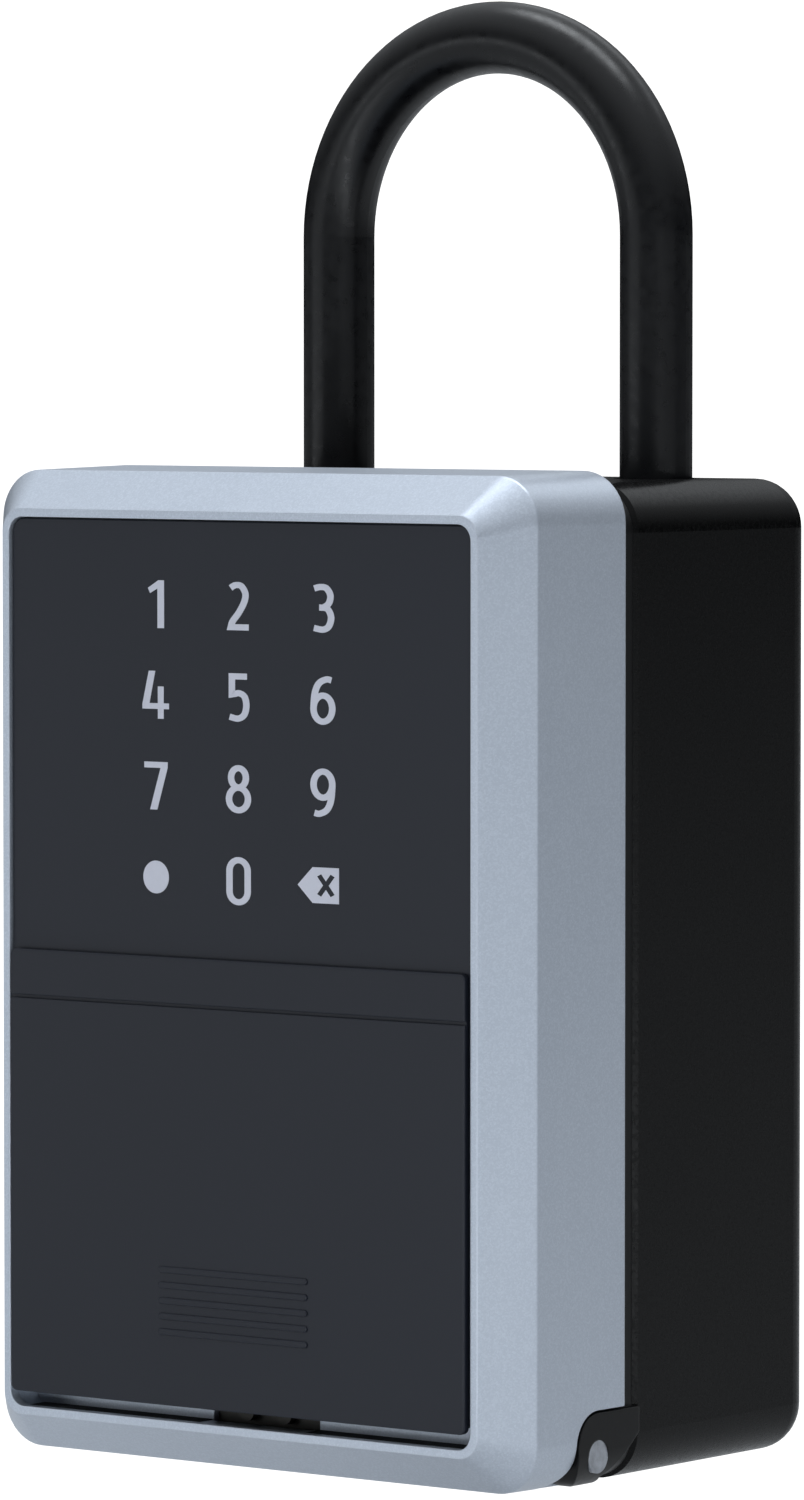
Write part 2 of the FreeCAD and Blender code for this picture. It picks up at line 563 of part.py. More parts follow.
def ear_clearance(side, sign):
    """The side cut-out that lets the door swing round the housing's ear."""
    name = "ear_gap_" + side
    span = mirrored(sign, "ear_inner - 0.2", "ear_outer + 0.8")
    tall = block(name + "_tall", span, ("hinge_y - 0.15", SEAM_Y + " + 1"), ("-1", "ear_top + 0.35"))
    low_part = block(name + "_low", span, ("hinge_y - 4.3", SEAM_Y + " + 1"), ("-1", "ear_top - 3.8"))
    brow = rod(name + "_brow", "4.15", "x", span, ("hinge_y - 0.15", "ear_top - 3.8"))
    flare = block(name + "_flare", span, ("hinge_y - 8.2", "hinge_y - 4.2"), ("-1", "hinge_z - 0.15"))
    round_off = rod(name + "_round", "3.9", "x", mirrored(sign, "ear_inner - 1", "ear_outer + 2"),
                    ("hinge_y - 8.2", "hinge_z - 0.15"))
    return [tall, low_part, brow, cut(name + "_foot", flare, round_off)]


def make_bumper(sign):
    span = mirrored(sign, "notch_wide / 2 + 0.2", OPENING_WIDTH + " / 2 - 0.5")
    return block("bumper_%d" % (sign + 1), span, ("rim_y + lip_thick + 0.1", WEB_Y + " - 0.1"),
                 ("shelf_top - pad_low", "shelf_top + pad_proud"))


def make_door_frame():
    opening = slab("front_opening", OPENING_WIDTH, OPENING_HEIGHT, "opening_corner",
                   ("rim_y - 1", "rim_y + 4"), "door_mid")
    seat = slab("panel_seat", OPENING_WIDTH + " + 1.8", OPENING_HEIGHT + " + 1.8", "opening_corner + 0.4",
                ("rim_y + lip_thick", BEVEL_Y + " + 2"), "door_mid")
    tray = slab("door_tray", "door_width - 2 * casting_wall", "door_height - 2 * casting_wall",
                "tray_corner", (BEVEL_Y + " + 1.5", SEAM_Y + " + 1"), "door_mid")
    shell = cut("door_shell", door_loft(), opening, seat, tray)
    half = OPENING_WIDTH + " / 2 + 1"
    shelf = block("door_shelf", ("-(%s)" % half, half), ("rim_y + lip_thick", WEB_Y + " + web_thick"),
                  ("shelf_bottom", "shelf_top"))
    web = block("door_web", ("-(%s)" % half, half), (WEB_Y, WEB_Y + " + web_thick"),
                ("shelf_bottom", "web_top"))
    knuckles = []
    tools = []
    for side, sign in SIDES:
        knuckles.append(rod("knuckle_" + side, "knuckle_radius", "x",
                            mirrored(sign, "pin_inner - 7.8", "ear_inner - 0.4"), HINGE_LINE))
        tools.append(rod("knuckle_bore_" + side, "bush_radius", "x",
                         mirrored(sign, "pin_inner - 0.1", "ear_inner + 0.1"), HINGE_LINE))
        tools += ear_clearance(side, sign)
        tools.append(rod("guide_foot_" + side, "guide_radius", "z", ("guide_bottom", "web_top + 1"),
                         ("%d * guide_mid" % sign, "guide_y")))
    notch = block("shelf_notch", ("-notch_wide / 2", "notch_wide / 2"),
                  (WEB_Y + " - 0.6", WEB_Y + " + web_thick + 1"), ("shelf_top - 0.6", "web_top + 1"))
    heel = block("heel_block", ("-42", "42"), ("hinge_y", SEAM_Y + " + 1"), ("-1", "hinge_z"))
    swing = rod("heel_swing", "swing_radius", "x", ("-43", "43"), HINGE_LINE)
    tools += [notch, cut("heel_relief", heel, swing)] + bumpers.Links
    for number, spot in enumerate(CHASSIS_SPOTS):
        tools.append(rod("frame_tap%d" % number, "tap_radius", "y", ("chassis_y - 3.4", "chassis_y + 1"),
                         spot))
    return cut("door_frame_cut", fuse("door_frame_blank", shell, shelf, web, *knuckles), *tools)


def make_keypad_panel():
    middle = "(panel_bottom + door_mid + %s / 2 - panel_gap) / 2" % OPENING_HEIGHT
    height = "door_mid + %s / 2 - panel_gap - panel_bottom" % OPENING_HEIGHT
    face = slab("panel_face", OPENING_WIDTH + " - 2 * panel_gap", height, "opening_corner - panel_gap",
                (PANEL_Y, PANEL_BACK), middle)
    ease(face, 0, "panel_round")
    flange = slab("panel_flange", OPENING_WIDTH + " + 1.6", height + " + 0.9", "opening_corner + 0.3",
                  ("rim_y + lip_thick + 0.05", PANEL_BACK), middle + " + 0.45")
    leg = ("leg_mid - leg_wide / 2 - 0.2", "leg_mid + leg_wide / 2 + 0.2")
    slots = [block("panel_slot_" + side, mirrored(sign, *leg), ("rim_y - 1", PANEL_BACK + " + 1"),
                   ("leg_bottom - 0.2", "cover_top - 0.4")) for side, sign in SIDES]
    return cut("panel_cut", fuse("panel_blank", face, flange), *slots)


def make_chassis():
    adds = [slab("chassis_plate", "inner_width", "inner_top - inner_bottom", "3.8",
                 ("chassis_y", CHASSIS_BACK), INNER_MID)]
    tools = [block("cell_window", ("-tray_half - 0.2", "tray_half + 0.2"), THROUGH_CHASSIS,
                   ("cell_z - 9.6", "cell_z + 9.6")),
             rod("plunger_hole", "2.0", "y", THROUGH_CHASSIS, BUTTON_SPOT)]
    for number, centre in enumerate(POST_SPOTS):
        adds.append(rod("chassis_post%d" % number, "post_radius", "y",
                        ("chassis_y + 0.5", "inner_cover_y"), centre))
        tools.append(rod("post_tap%d" % number, "tap_radius", "y",
                         ("inner_cover_y - 5.6", "inner_cover_y + 1"), centre))
    for number, spot in enumerate(CHASSIS_SPOTS):
        tools.append(rod("chassis_hole%d" % number, "1.0", "y", THROUGH_CHASSIS, spot))
    for side, sign in SIDES:
        rail_x = "%d * guide_mid" % sign
        adds.append(block("guide_lug_" + side, (rail_x + " - 2.6", rail_x + " + 2.6"),
                          ("guide_y - 2.2", "guide_y + 2.2"), ("guide_top - 4.5", "guide_top")))
        window = mirrored(sign, "shoe_mid - shoe_wide / 2 - 0.6", "shoe_mid + shoe_wide / 2 + 0.6")
        tools.append(block("shoe_window_" + side, window,
                           THROUGH_CHASSIS, ("inner_bottom - 1", "guide_top - 4.5")))
        tools.append(rod("guide_seat_" + side, "guide_radius", "z", ("guide_top - 6", "guide_top - 1"),
                         (rail_x, "guide_y")))
    return cut("chassis_cut", fuse("chassis_blank", *adds), *tools)


def make_inner_cover():
    plate = slab("inner_plate", "inner_width", "inner_top - inner_bottom", "3.8",
                 ("inner_cover_y", INNER_BACK), INNER_MID)
    bosses = [rod("case_boss%d" % number, "1.8", "y", ("inner_cover_y - 2.4", "inner_cover_y + 0.2"), spot)
              for number, spot in enumerate(CASE_SPOTS)]
    tools = [
        block("bolt_window", CASE_ROOM[0], THROUGH_COVER, CASE_ROOM[1]),
        block("cell_door_window", ("-lid_wide / 2 - 0.1", "lid_wide / 2 + 0.1"), THROUGH_COVER,
              ("cell_z - lid_tall / 2 - 0.1", "cell_z + lid_tall / 2 + 0.1")),
        rod("button_hole", "button_radius + 0.2", "y", THROUGH_COVER, BUTTON_SPOT),
    ]
    for number, spot in enumerate(CASE_SPOTS):
        tools.append(rod("case_tap%d" % number, "tap_radius", "y",
                         ("inner_cover_y - 2", INNER_BACK + " + 1"), spot))
    for number, centre in enumerate(POST_SPOTS):
        tools.append(rod("inner_hole%d" % number, "1.1", "y", THROUGH_COVER, centre))
        tools.append(rod("inner_sink%d" % number, "1.9", "y", (INNER_BACK + " - 0.65", INNER_BACK + " + 1"),
                         centre))
    return cut("inner_cover_cut", fuse("inner_blank", plate, *bosses), *tools)


def make_bolt_case():
    """The box over the bolt and the pinion, open towards the cover, with two tabs and three guides."""
    shell = block("case_solid", ("case_left", "case_right"), (INNER_BACK, "case_rear"),
                  ("case_bottom", "case_top"))
    tabs = block("case_tabs", ("case_left - tab_wide", "case_right + tab_wide"),
                 (INNER_BACK, INNER_BACK + " + tab_thick"), ("pinion_z - 3", "pinion_z + 3"))
    tools = [
        block("case_room", CASE_ROOM[0], (INNER_BACK + " - 1", "case_rear - 1"), CASE_ROOM[1]),
        block("bolt_exit", ("bolt_mid - bolt_wide / 2 - 0.2", "bolt_mid + bolt_wide / 2 + 0.2"),
              ("bolt_front - 0.2", "bolt_rear + 0.2"), ("case_top - 3", "case_top + 1")),
    ]
    for number, spot in enumerate(CASE_SPOTS):
        tools.append(rod("tab_hole%d" % number, "1.0", "y", (INNER_BACK + " - 1", INNER_BACK + " + 2"),
                         spot))
    hollow = cut("case_hollow", fuse("case_blank", shell, tabs), *tools)
    guides = []
    for side, sign in SIDES:
        middle = "bolt_mid + %d * (bolt_wide / 2 + 0.15 + 0.4)" % sign
        guides.append(block("bolt_guide_" + side, (middle + " - 0.4", middle + " + 0.4"),
                            ("-8.4", "case_rear - 0.9"), ("case_bottom + 2", "case_top - 1.1")))
    guides.append(block("bolt_guide_back", BOLT_ROOM, ("-3.45", "case_rear - 0.9"),
                        ("case_bottom + 2", "98.5")))
    return fuse("case_whole", hollow, *guides)


def make_cell_tray():
    room = "cell_radius + cell_room"
    outer = block("tray_outer", ("-tray_half", "tray_half"),
                  ("cell_y - (%s) - 1" % room, "inner_cover_y - 0.1"),
                  ("cell_z - (%s) - 1" % room, "cell_z + (%s) + 1" % room))
    inner = block("tray_inner", ("-tray_half + 1", "tray_half - 1"),
                  ("cell_y - (%s)" % room, "inner_cover_y + 1"),
                  ("cell_z - (%s)" % room, "cell_z + (%s)" % room))
    return cut("tray_cut", outer, inner)


def make_cell():
    can = rod("cell_can", "cell_radius", "x", ("-cell_length / 2", "cell_length / 2 - 1"), CELL_LINE)
    nub = rod("cell_nub", "2.5", "x", ("cell_length / 2 - 1.5", "cell_length / 2"), CELL_LINE)
    return fuse("cell_whole", can, nub)


def make_contact(name, blade, tongue):
    plate = block(name + "_plate", blade, ("cell_y - 5", "cell_y + 5"), ("cell_z - 6", "cell_z + 6"))
    spot = rod(name + "_spot", "1.8", "x", tongue, CELL_LINE)
    return fuse(name + "_whole", plate, spot)


def make_cell_cover():
    lid = slab("cell_lid", "lid_wide", "lid_tall", "1.0", ("inner_cover_y", INNER_BACK), "cell_z")
    grip = [block("lid_grip%d" % number, ("%d - 0.35" % x, "%d + 0.35" % x),
                  (INNER_BACK + " - 0.5", INNER_BACK + " + 1"), ("cell_z - 3", "cell_z + 3"))
            for number, x in enumerate(range(6, 13, 2))]
    return cut("cell_lid_cut", lid, *grip)


def make_button():
    cap = rod("button_cap", "button_radius", "y", ("inner_cover_y - 1", INNER_BACK + " + 0.5"), BUTTON_SPOT)
    collar = rod("button_collar", "button_radius + 1", "y", ("inner_cover_y - 1.6", "inner_cover_y - 0.1"),
                 BUTTON_SPOT)
    plunger = rod("button_plunger", "1.5", "y", ("chassis_y + 0.2", "inner_cover_y - 1"), BUTTON_SPOT)
    return fuse("button_whole", cap, collar, plunger)


def make_power_port():
    body = block("port_body", ("-notch_wide / 2 + 0.1", "notch_wide / 2 - 0.1"),
                 (WEB_Y + " + 0.8", WEB_Y + " + web_thick"), ("shelf_top - 0.5", "web_top + 1.5"))
    studs = [rod("port_stud_" + side, "1.15", "y", (WEB_Y + " - 0.4", WEB_Y + " + 1"),
                 ("%d * 2.9" % sign, "shelf_top + 1.45")) for side, sign in SIDES]
    return fuse("port_whole", body, *studs)


bumpers = doc.addObject("Part::Compound", "bumper_pair")
bumpers.Links = [make_bumper(-1), make_bumper(1)]
keep("slide_stop_bumper", bumpers)
keep("door_frame", make_door_frame())
keep("keypad_panel", make_keypad_panel())
keep("touch_sensor_board", slab("touch_board", "board_width", "touch_board_tall", "1",
                                (PANEL_BACK + " + 0.05", PANEL_BACK + " + 0.85"), "board_mid"))
keep("main_circuit_board", slab("main_board", "board_width", "main_board_tall", "1",
                                (BOARD_Y, BOARD_Y + " + 1"), "board_mid"))
keep("board_connector", block("connector", ("-connector_half", "connector_half"),
                              (PANEL_BACK + " + 0.85", BOARD_Y), ("connector_low", "connector_high")))
keep("radio_module", slab("radio_can", "12", "10", "0.6", (BOARD_Y + " + 1", BOARD_Y + " + 2.4"),
                          "radio_z", "radio_x"))
keep("buzzer", rod("buzzer_can", "buzzer_radius", "y", (BOARD_Y + " + 1", BOARD_Y + " + 2.7"),
                   ("buzzer_x", "buzzer_z")))
keep("button_switch", block("switch_body", ("button_x - 2", "button_x + 2"),
                            (BOARD_Y + " + 1", BOARD_Y + " + 2.4"), ("button_z - 2", "button_z + 2")))
keep("inner_chassis", make_chassis())
keep("chassis_screws", screw_group("chassis_screws", CHASSIS_SPOTS, "y",
                                   ("chassis_y - 3.2", CHASSIS_BACK + " + 1"), "tap_radius", "1.25", "1.0"))
keep("inner_cover", make_inner_cover())
keep("inner_cover_screws", screw_group("inner_cover_screws", POST_SPOTS, "y",
                                       ("inner_cover_y - 5", INNER_BACK + " + 0.25"), "tap_radius", "1.7",
                                       "0.9"))
keep("bolt_case", make_bolt_case())
keep("bolt_case_screws", screw_group("bolt_case_screws", CASE_SPOTS, "y",
                                     ("inner_cover_y - 1.8", INNER_BACK + " + tab_thick + 0.9"),
                                     "tap_radius", "1.5", "0.9"))
keep("battery_tray", make_cell_tray())
keep("battery_cell", make_cell())
keep("battery_contact_plus", make_contact("contact_plus", ("14.5", "14.9"),
                                          ("cell_length / 2 + 0.02", "14.6")))
keep("battery_contact_minus", make_contact("contact_minus", ("-14.9", "-14.5"),
                                           ("-14.6", "-cell_length / 2 - 0.02")))
keep("battery_cover", make_cell_cover())
keep("setup_button", make_button())
keep("power_port", make_power_port())
for side, sign in SIDES:
    keep("guide_rod_" + side, rod("guide_" + side, "guide_radius", "z", ("guide_bottom", "guide_top - 1"),
                                  ("%d * guide_mid" % sign, "guide_y")))
    sleeve = rod("hinge_bush_tube_" + side, "bush_radius", "x",
                 mirrored(sign, "pin_inner", "ear_inner - 0.4"), HINGE_LINE)
    bore = rod("hinge_bush_bore_" + side, "pin_radius + running_gap", "x",
               mirrored(sign, "pin_inner - 1", "ear_inner + 1"), HINGE_LINE)
    keep("hinge_bush_" + side, cut("hinge_bush_cut_" + side, sleeve, bore))


# ---------------------------------------------------------------- slide cover
def make_slide_cover():
    mid = "(cover_top + cover_bottom) / 2"
    plate = slab("cover_plate", OPENING_WIDTH + " - 2 * cover_gap", "cover_top - cover_bottom",
                 "cover_corner", (COVER_FRONT, COVER_FRONT + " + cover_thick"), mid)
    ease(plate, 0, "cover_round")
    legs = [block("cover_leg_" + side, mirrored(sign, "leg_mid - leg_wide / 2", "leg_mid + leg_wide / 2"),
                  (COVER_FRONT + " + 0.5", SHOE_FRONT), ("leg_bottom", "leg_bottom + leg_tall"))
            for side, sign in SIDES]
    groove = block("cover_groove", ("-40", "40"), (COVER_FRONT + " - 1", COVER_FRONT + " + 0.4"),
                   ("grip_line - 0.25", "grip_line + 0.25"))
    return cut("cover_cut", fuse("cover_blank", plate, *legs), groove)


def make_shoe(side, sign):
    shoe = slab("shoe_solid_" + side, "shoe_wide", "shoe_tall", "1.0", (SHOE_FRONT, "guide_y + 2.4"),
                "shoe_z", "%d * shoe_mid" % sign)
    rail = rod("shoe_bore_" + side, "guide_radius + running_gap", "z", ("0", "40"),
               ("%d * guide_mid" % sign, "guide_y"))
    spot = ("%d * leg_mid" % sign, "shoe_hole_z")
    clearance = rod("shoe_hole_" + side, "0.7", "y", (SHOE_FRONT + " - 1", "guide_y + 5"), spot)
    sink = rod("shoe_sink_" + side, "1.3", "y", ("guide_y + 1.4", "guide_y + 5"), spot)
    return cut("shoe_cut_" + side, shoe, rail, clearance, sink)


keep("slide_cover", make_slide_cover())
for side, sign in SIDES:
    keep("slide_shoe_" + side, make_shoe(side, sign))
shoe_spots = [("%d * leg_mid" % sign, "shoe_hole_z") for side, sign in SIDES]
keep("shoe_screws", screw_group("shoe_screws", shoe_spots, "y", (SHOE_FRONT, "guide_y + 2.2"),
                                "0.65", "1.2", "0.8"))

# ---------------------------------------------------------------- bolt and its drive
MODULE = DIMENSIONS["gear_module"]
TEETH = int(DIMENSIONS["pinion_teeth"])
PITCH_RADIUS = MODULE * TEETH / 2
PITCH = math.pi * MODULE
TOOTH_HALF = 0.2 * PITCH
FLANK = math.tan(math.radians(20))
ADDENDUM = 0.9 * MODULE
DEDENDUM = 1.15 * MODULE
ROOT_DEPTH = 1.1
RACK_Y = DIMENSIONS["rack_pitch_y"]
PINION_Y = RACK_Y - PITCH_RADIUS
PINION_Z = DIMENSIONS["pinion_z"]
GEAR_START = DIMENSIONS["gear_start"]
GEAR_WIDE = DIMENSIONS["gear_wide"]
PINION_LINE = (str(PINION_Y), "pinion_z")
MOTOR_DEPTH = ("%s - motor_flat / 2" % PINION_Y, "%s + motor_flat / 2" % PINION_Y)


def toothed_prism(name, points):
    """A prism as wide as the gears from a closed outline in the YZ plane."""
    wire = Part.makePolygon([Vector(GEAR_START, y, z) for y, z in points + points[:1]])
    feature = doc.addObject("Part::Feature", name)
    feature.Shape = Part.Face(wire).extrude(Vector(GEAR_WIDE, 0, 0))
    return feature


def make_pinion():
    """Teeth a little thinner than half the pitch, one of them square to the rack."""
    def tooth(level):
        return TOOTH_HALF - level * FLANK
    outline_points = []
    for number in range(TEETH):
        turn = 2 * math.pi * number / TEETH
        for level, side in ((-DEDENDUM, -1), (ADDENDUM, -1), (ADDENDUM, 1), (-DEDENDUM, 1)):
            radius = PITCH_RADIUS + level
            angle = turn + side * tooth(level) / radius
            outline_points.append((PINION_Y + radius * math.cos(angle), PINION_Z + radius * math.sin(angle)))
    wheel = toothed_prism("pinion_wheel", outline_points)
    bore = rod("pinion_bore", "shaft_radius", "x", ("12", "20"), PINION_LINE)
    return cut("pinion_cut", wheel, bore)


def make_drive_shaft():
    """The gearbox's output shaft, with the pinion pressed on its free end."""
    bar = rod("shaft_bar", "shaft_radius", "x", ("8.2", "gear_start + gear_wide + 0.4"), PINION_LINE)
    collar = rod("shaft_collar", "2.4", "x", ("11.6", "gear_start - 0.1"), PINION_LINE)
    return fuse("shaft_whole", bar, collar)


def make_bolt():
    """A shank with a rack on its door side and a head set back to reach the strike."""
    half = "bolt_wide / 2"
    span = ("bolt_mid - " + half, "bolt_mid + " + half)
    shank = block("bolt_shank", span, ("rack_pitch_y + 0.9", "-3.6"), ("87", "105.5"))
    head = block("bolt_head", span, ("bolt_front", "bolt_rear"), ("99", "bolt_top"))
    teeth = []
    for step in range(-4, 3):
        middle = PINION_Z + (step + 0.5) * PITCH
        root, crest = TOOTH_HALF + ROOT_DEPTH * FLANK, TOOTH_HALF - ADDENDUM * FLANK
        points = [(RACK_Y + ROOT_DEPTH, middle - root), (RACK_Y - ADDENDUM, middle - crest),
                  (RACK_Y - ADDENDUM, middle + crest), (RACK_Y + ROOT_DEPTH, middle + root)]
        teeth.append(toothed_prism("rack_tooth%d" % (step + 4), points))
    return fuse("bolt_whole", shank, head, *teeth)


def make_gearbox():
    box = slab("gearbox_body", "9", "motor_wide", "0.8", MOTOR_DEPTH, "pinion_z", "6.5")
    bore = rod("gearbox_bore", "shaft_radius + running_gap", "x", ("8", "12"), PINION_LINE)
    return cut("gearbox_cut", box, bore)


def make_motor():
    can = rod("motor_can", "motor_wide / 2", "x", ("-12.9", "2"), PINION_LINE)
    flats = block("motor_flats", ("-13", "3"), MOTOR_DEPTH, ("pinion_z - 10", "pinion_z + 10"))
    boss = rod("motor_boss", "2", "x", ("-14", "-12.5"), PINION_LINE)
    return fuse("motor_whole", common("motor_body", can, flats), boss)


def make_bracket():
    inside = ("pinion_z - motor_wide / 2", "pinion_z + motor_wide / 2")
    outer = block("bracket_outer", ("3", "9.8"), (CHASSIS_BACK, MOTOR_DEPTH[1] + " + 1.2"),
                  (inside[0] + " - 1.4", inside[1] + " + 1.4"))
    room = block("bracket_room", ("2", "11"), MOTOR_DEPTH, inside)
    slot = block("bracket_slot", ("2", "11"), (CHASSIS_BACK, MOTOR_DEPTH[0] + " - 1"), inside)
    return cut("bracket_cut", outer, room, slot)


keep("door_bolt", make_bolt())
keep("motor_pinion", make_pinion())
keep("drive_shaft", make_drive_shaft())
keep("motor_gearbox", make_gearbox())
keep("bolt_motor", make_motor())
keep("motor_bracket", make_bracket())

# ---------------------------------------------------------------- check and write
doc.recompute()
for thing in doc.Objects:
    if "Invalid" in thing.State or "Error" in thing.State:
        raise RuntimeError("%s did not build: %s" % (thing.Name, thing.State))
for label, thing in parts.items():
    if thing.Shape.isNull() or not thing.Shape.isValid() or not thing.Shape.Solids:
        raise RuntimeError("%s has no valid solid" % label)
for label, thing in parts.items():
    thing.Shape.exportStep("parts/%s.step" % label)
    print("%-24s solids %d  volume %9.1f" % (label, len(thing.Shape.Solids), thing.Shape.Volume))
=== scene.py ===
import json
import math

import bmesh
import bpy
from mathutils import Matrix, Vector

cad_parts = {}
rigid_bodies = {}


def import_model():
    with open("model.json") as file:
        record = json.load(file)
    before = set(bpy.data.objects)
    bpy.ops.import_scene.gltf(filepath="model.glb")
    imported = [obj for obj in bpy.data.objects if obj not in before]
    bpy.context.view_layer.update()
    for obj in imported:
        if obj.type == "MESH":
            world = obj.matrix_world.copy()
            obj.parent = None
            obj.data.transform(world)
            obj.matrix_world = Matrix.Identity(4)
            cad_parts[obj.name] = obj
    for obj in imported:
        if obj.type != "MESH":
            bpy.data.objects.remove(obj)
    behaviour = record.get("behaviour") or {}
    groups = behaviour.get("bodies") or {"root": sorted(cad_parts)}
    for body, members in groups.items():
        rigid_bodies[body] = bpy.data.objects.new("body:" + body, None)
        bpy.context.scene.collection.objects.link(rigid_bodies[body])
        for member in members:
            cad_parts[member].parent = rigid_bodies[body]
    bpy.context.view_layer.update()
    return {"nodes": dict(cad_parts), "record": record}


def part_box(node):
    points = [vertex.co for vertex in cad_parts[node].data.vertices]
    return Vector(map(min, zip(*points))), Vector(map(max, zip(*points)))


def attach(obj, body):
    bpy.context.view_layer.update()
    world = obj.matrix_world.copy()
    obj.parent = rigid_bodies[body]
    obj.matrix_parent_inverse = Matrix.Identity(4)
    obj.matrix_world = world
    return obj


for leftover in list(bpy.data.objects):
    bpy.data.objects.remove(leftover)
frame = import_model()
scene = bpy.context.scene
scene.view_settings.view_transform = "Standard"
MM = 0.001

# ---------------------------------------------------------------- camera
CAMERA_PLACE = Vector((0.62076, -0.80988, 0.13849))
CAMERA_YAW = math.radians(37.422)
CAMERA_PITCH = math.radians(-2.899)
camera_data = bpy.data.cameras.new("camera")
camera_data.sensor_width = 36.0
camera_data.lens = 198.7
camera_data.clip_start = 0.05
camera_data.clip_end = 50.0
camera = bpy.data.objects.new("camera", camera_data)
scene.collection.objects.link(camera)
camera.location = CAMERA_PLACE
look = Vector((-math.sin(CAMERA_YAW) * math.cos(CAMERA_PITCH),
               math.cos(CAMERA_YAW) * math.cos(CAMERA_PITCH),
               math.sin(CAMERA_PITCH)))
camera.rotation_mode = "QUATERNION"
camera.rotation_quaternion = look.to_track_quat("-Z", "Y")
scene.camera = camera

# ---------------------------------------------------------------- materials
EDGE_RADIUS = 0.0003
LACQUER_RADIUS = 0.00025
EDGE_HIGHLIGHT_SPAN = (0.90, 0.999)


class Paint:
    """A node material that reads the piece's own coordinates, so it moves with the piece."""

    def __init__(self, name):
        self.material = bpy.data.materials.new(name)
        self.material.use_nodes = True
        self.tree = self.material.node_tree
        self.nodes = self.tree.nodes
        self.nodes.clear()
        self.out = self.nodes.new("ShaderNodeOutputMaterial")
        self.shader = self.nodes.new("ShaderNodeBsdfPrincipled")
        self.join(self.shader.outputs[0], self.out.inputs["Surface"])
        self.coords = self.nodes.new("ShaderNodeTexCoord").outputs["Object"]

    def join(self, source, target):
        self.tree.links.new(source, target)

    def put(self, socket, value):
        self.shader.inputs[socket].default_value = value

    def noise(self, scale, detail=2.0, stretch=(1, 1, 1), rough=0.5):
        mapping = self.nodes.new("ShaderNodeMapping")
        mapping.inputs["Scale"].default_value = stretch
        self.join(self.coords, mapping.inputs["Vector"])
        noise = self.nodes.new("ShaderNodeTexNoise")
        noise.inputs["Scale"].default_value = scale
        noise.inputs["Detail"].default_value = detail
        noise.inputs["Roughness"].default_value = rough
        self.join(mapping.outputs[0], noise.inputs["Vector"])
        return noise.outputs["Fac"]

    def cells(self, scale):
        cells = self.nodes.new("ShaderNodeTexVoronoi")
        cells.inputs["Scale"].default_value = scale
        self.join(self.coords, cells.inputs["Vector"])
        return cells.outputs["Color"]

    def span(self, value, low, high, at_low=0.3, at_high=0.7):
        """A value from low to high as the input goes from at_low to at_high."""
        node = self.nodes.new("ShaderNodeMapRange")
        node.inputs["From Min"].default_value = at_low
        node.inputs["From Max"].default_value = at_high
        node.inputs["To Min"].default_value = low
        node.inputs["To Max"].default_value = high
        self.join(value, node.inputs["Value"])
        return node.outputs[0]

    def mix(self, factor, first, second):
        node = self.nodes.new("ShaderNodeMix")
        node.data_type = "RGBA"
        for socket, value in ((node.inputs[0], factor), (node.inputs[6], first), (node.inputs[7], second)):
            if hasattr(value, "links"):
                self.join(value, socket)
            elif hasattr(value, "__len__"):
                socket.default_value = (*value[:3], 1.0)
            else:
                socket.default_value = value
        return node.outputs[2]

    def rounded(self, radius):
        """The surface normal with sharp edges rounded off."""
        bevel = self.nodes.new("ShaderNodeBevel")
        bevel.samples = 4
        bevel.inputs["Radius"].default_value = radius
        return bevel.outputs[0]

    def painted_edge_highlight(self, soft):
        """A painted highlight mask: 1 along sharp edges, where the rounded normal turns away from the plain
        one, and 0 elsewhere.
        """
        plain = self.nodes.new("ShaderNodeNewGeometry").outputs["Normal"]
        dot = self.nodes.new("ShaderNodeVectorMath")
        dot.operation = "DOT_PRODUCT"
        self.join(soft, dot.inputs[0])
        self.join(plain, dot.inputs[1])
        return self.span(dot.outputs["Value"], 1.0, 0.0, *EDGE_HIGHLIGHT_SPAN)

    def bump(self, heights, strength=0.3, distance=0.00005, normal=None):
        """Several height fields laid on each other."""
        for height in heights:
            node = self.nodes.new("ShaderNodeBump")
            node.inputs["Strength"].default_value = strength
            node.inputs["Distance"].default_value = distance
            self.join(height, node.inputs["Height"])
            if normal is not None:
                self.join(normal, node.inputs["Normal"])
            normal = node.outputs[0]
        self.join(normal, self.shader.inputs["Normal"])


def tinted(colour, share):
    return tuple(min(1.0, part * share) for part in colour)


def surface(name, colour, metallic=0.0, rough=0.5, rough_vary=0.06, vary=0.08, vary_scale=40, grain=1200,
            grain_strength=0.15, stretch=(1, 1, 1), specular=0.5, edge_highlight=0.0):
    """The common finish: uneven colour, uneven gloss, fine grain and edges lightened as a painted highlight.
    """
    paint = Paint(name)
    broad = paint.noise(vary_scale, 3.0, stretch)
    fine = paint.noise(grain, 3.0, stretch)
    base = paint.mix(paint.span(broad, 0.0, 1.0), tinted(colour, 1 - vary), tinted(colour, 1 + vary))
    speckled = paint.mix(paint.span(fine, 0.0, 0.35), base, tinted(colour, 1 + 2 * vary))
    soft = None
    # Painted highlight: along sharp edges the colour is lightened by the given share.
    if edge_highlight:
        soft = paint.rounded(EDGE_RADIUS)
        speckled = paint.mix(paint.painted_edge_highlight(soft), speckled, tinted(colour, 1 + edge_highlight))
    paint.join(speckled, paint.shader.inputs["Base Color"])
    paint.join(paint.span(fine, rough - rough_vary, rough + rough_vary), paint.shader.inputs["Roughness"])
    paint.bump([fine, broad], grain_strength, normal=soft)
    paint.put("Metallic", metallic)
    paint.put("Specular IOR Level", specular)
    return paint.material


